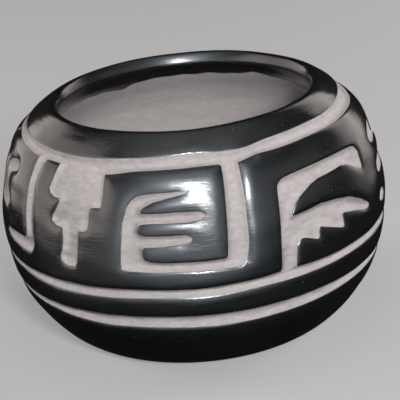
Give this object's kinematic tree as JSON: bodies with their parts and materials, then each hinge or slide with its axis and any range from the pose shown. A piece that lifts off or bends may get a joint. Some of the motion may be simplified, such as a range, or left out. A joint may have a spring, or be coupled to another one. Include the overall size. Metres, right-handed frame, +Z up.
{
  "type": "carved pottery jar",
  "caption": "Low wide coil-built pottery jar with an inturned shoulder, round mouth and rounded lip, a deep-carved polished black frieze and matte recesses.",
  "frame": {"origin": "centre of the flat resting face under the foot", "axes": "+Z up along the axis the jar was turned on, out of the mouth; -Y is the front, the side with the finger figure and its long vertical groove"},
  "size_m": [0.15, 0.15, 0.0918],
  "materials": {
    "matte_clay": "matte taupe-grey clay with fine wiping marks",
    "polished_slip": "stone-polished black slip with fine burnishing streaks"
  },
  "bodies": {
    "root": {"base_pancake": "matte_clay", "wall_coil_1": "matte_clay", "wall_coil_2": "matte_clay", "wall_coil_3": "matte_clay", "wall_coil_4": "matte_clay", "wall_coil_5": "matte_clay", "wall_coil_6": "matte_clay", "rim_coil": "matte_clay", "polished_underbody": "polished_slip", "polished_middle_band": "polished_slip", "polished_frieze": "polished_slip", "polished_rim_band": "polished_slip"}
  },
  "joints": []
}
